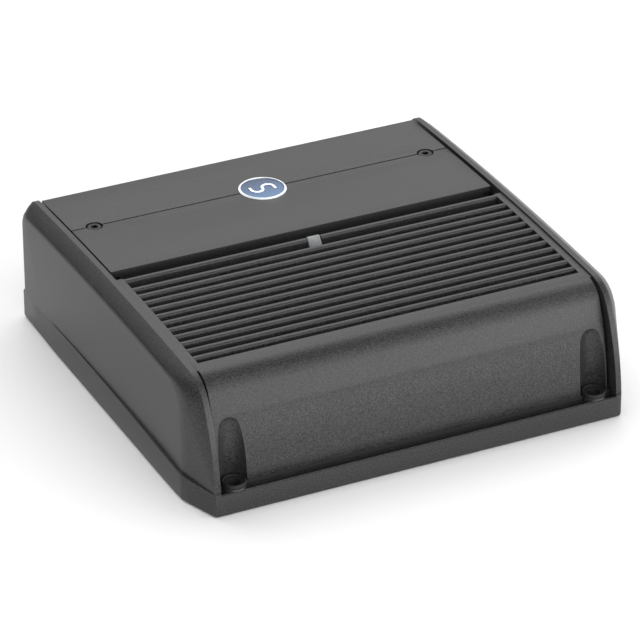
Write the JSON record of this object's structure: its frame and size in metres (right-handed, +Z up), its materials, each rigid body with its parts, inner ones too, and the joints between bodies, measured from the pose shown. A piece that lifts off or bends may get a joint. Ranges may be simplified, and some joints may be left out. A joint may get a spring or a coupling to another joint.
{
  "type": "car amplifier",
  "caption": "Flat car amplifier: arched finned body, bulged end caps, tray base with corner grommets, and a lift-off cover over knobs, switches and cable connectors.",
  "frame": {"origin": "centre of the underside of the tray", "axes": "+X to the amplifier's right seen from the front, +Y from the front lip to the connections at the rear, +Z up from the mounting surface"},
  "size_m": [0.1848, 0.1783, 0.0542],
  "materials": {
    "body_coat": "charcoal textured powder coat",
    "screw_steel": "zinc-plated steel",
    "black_rubber": "matte black rubber",
    "smoked_lens": "frosted light grey acrylic",
    "lamp": "clear blue lamp",
    "circuit_board": "green solder mask",
    "brass": "bright brass",
    "copper_winding": "varnished copper wire",
    "can_sleeve": "shrink sleeve",
    "choke_winding": "varnished copper wire",
    "chip_black": "moulded black epoxy",
    "silicone_pad": "light grey silicone sheet",
    "black_plastic": "moulded black plastic",
    "green_plastic": "moulded green plastic",
    "plated_sleeve": "gold plated",
    "plate_paint": "satin black paint",
    "pot_case": "plated steel case",
    "knob_plastic": "fine grained black plastic",
    "slider_plastic": "off-white plastic",
    "ribbon": "grey flat cable jacket",
    "badge_rim": "white enamel ring",
    "badge_blue": "blue enamel",
    "badge_mark": "white enamel"
  },
  "bodies": {
    "amplifier": {"heatsink": "body_coat", "end_cap_left": "body_coat", "end_cap_right": "body_coat", "base_tray": "body_coat", "tray_screws": "screw_steel", "cap_screws": "screw_steel", "board_screws": "screw_steel", "transformer_clamp": "screw_steel", "transistor_clamps": "screw_steel", "clamp_screws": "screw_steel", "plate_screws": "screw_steel", "seal_gasket": "black_rubber", "mounting_grommets": "black_rubber", "light_pipe": "smoked_lens", "status_led": "lamp", "main_board": "circuit_board", "signal_board": "circuit_board", "control_board": "circuit_board", "board_spacers": "brass", "control_spacers": "brass", "power_contacts": "brass", "transformer_winding": "copper_winding", "reservoir_capacitors": "can_sleeve", "input_choke": "choke_winding", "output_coils": "choke_winding", "output_transistors": "chip_black", "board_chips": "chip_black", "thermal_pads": "silicone_pad", "power_terminal": "black_plastic", "speaker_header": "black_plastic", "jack_housing": "black_plastic", "switch_bodies": "black_plastic", "ribbon_headers": "black_plastic", "jack_sleeves": "plated_sleeve", "control_plate": "plate_paint", "pot_bodies": "pot_case", "control_ribbon": "ribbon"},
    "cover": {"cover_front": "body_coat", "cover_rear": "body_coat", "cover_joint_bar": "screw_steel", "badge_frame": "badge_rim", "badge_field": "badge_blue", "badge_emblem": "badge_mark"},
    "cover_screw_left": {"cover_screw_left": "screw_steel"},
    "cover_screw_right": {"cover_screw_right": "screw_steel"},
    "gain_knob_1": {"gain_knob_1": "knob_plastic"},
    "gain_knob_2": {"gain_knob_2": "knob_plastic"},
    "filter_knob_1": {"filter_knob_1": "knob_plastic"},
    "filter_knob_2": {"filter_knob_2": "knob_plastic"},
    "switch_slider_1": {"switch_slider_1": "slider_plastic"},
    "switch_slider_2": {"switch_slider_2": "slider_plastic"},
    "switch_slider_3": {"switch_slider_3": "slider_plastic"},
    "power_screw_1": {"power_screw_1": "screw_steel"},
    "power_screw_2": {"power_screw_2": "screw_steel"},
    "power_screw_3": {"power_screw_3": "screw_steel"},
    "speaker_plug": {"speaker_plug": "green_plastic", "speaker_plug_screws": "screw_steel"}
  },
  "joints": [
    {"name": "cover_lift", "type": "slide", "parent": "amplifier", "child": "cover", "axis": [0, 0, 1], "range_m": [0, 0.04]},
    {"name": "cover_screw_left_turn", "type": "hinge", "parent": "cover", "child": "cover_screw_left", "pos_m": [-0.0729, 0.0527, 0.05], "axis": [0, 0, 1], "continuous": true},
    {"name": "cover_screw_right_turn", "type": "hinge", "parent": "cover", "child": "cover_screw_right", "pos_m": [0.0729, 0.0527, 0.05], "axis": [0, 0, 1], "continuous": true},
    {"name": "gain_knob_1_turn", "type": "hinge", "parent": "amplifier", "child": "gain_knob_1", "pos_m": [-0.0505, 0.0312, 0.044], "axis": [0, 0, 1], "range_deg": [-140, 140]},
    {"name": "gain_knob_2_turn", "type": "hinge", "parent": "amplifier", "child": "gain_knob_2", "pos_m": [-0.0335, 0.0312, 0.044], "axis": [0, 0, 1], "range_deg": [-140, 140]},
    {"name": "filter_knob_1_turn", "type": "hinge", "parent": "amplifier", "child": "filter_knob_1", "pos_m": [-0.0165, 0.0312, 0.044], "axis": [0, 0, 1], "range_deg": [-140, 140]},
    {"name": "filter_knob_2_turn", "type": "hinge", "parent": "amplifier", "child": "filter_knob_2", "pos_m": [0.0005, 0.0312, 0.044], "axis": [0, 0, 1], "range_deg": [-140, 140]},
    {"name": "switch_1_slide", "type": "slide", "parent": "amplifier", "child": "switch_slider_1", "axis": [1, 0, 0], "range_m": [-0.0018, 0.0018]},
    {"name": "switch_2_slide", "type": "slide", "parent": "amplifier", "child": "switch_slider_2", "axis": [1, 0, 0], "range_m": [-0.0018, 0.0018]},
    {"name": "switch_3_slide", "type": "slide", "parent": "amplifier", "child": "switch_slider_3", "axis": [1, 0, 0], "range_m": [-0.0018, 0.0018]},
    {"name": "power_screw_1_lift", "type": "slide", "parent": "amplifier", "child": "power_screw_1", "axis": [0, 0, 1], "range_m": [0, 0.003]},
    {"name": "power_screw_2_lift", "type": "slide", "parent": "amplifier", "child": "power_screw_2", "axis": [0, 0, 1], "range_m": [0, 0.003]},
    {"name": "power_screw_3_lift", "type": "slide", "parent": "amplifier", "child": "power_screw_3", "axis": [0, 0, 1], "range_m": [0, 0.003]},
    {"name": "speaker_plug_pull", "type": "slide", "parent": "amplifier", "child": "speaker_plug", "axis": [0, 1, 0], "range_m": [0, 0.012]}
  ]
}
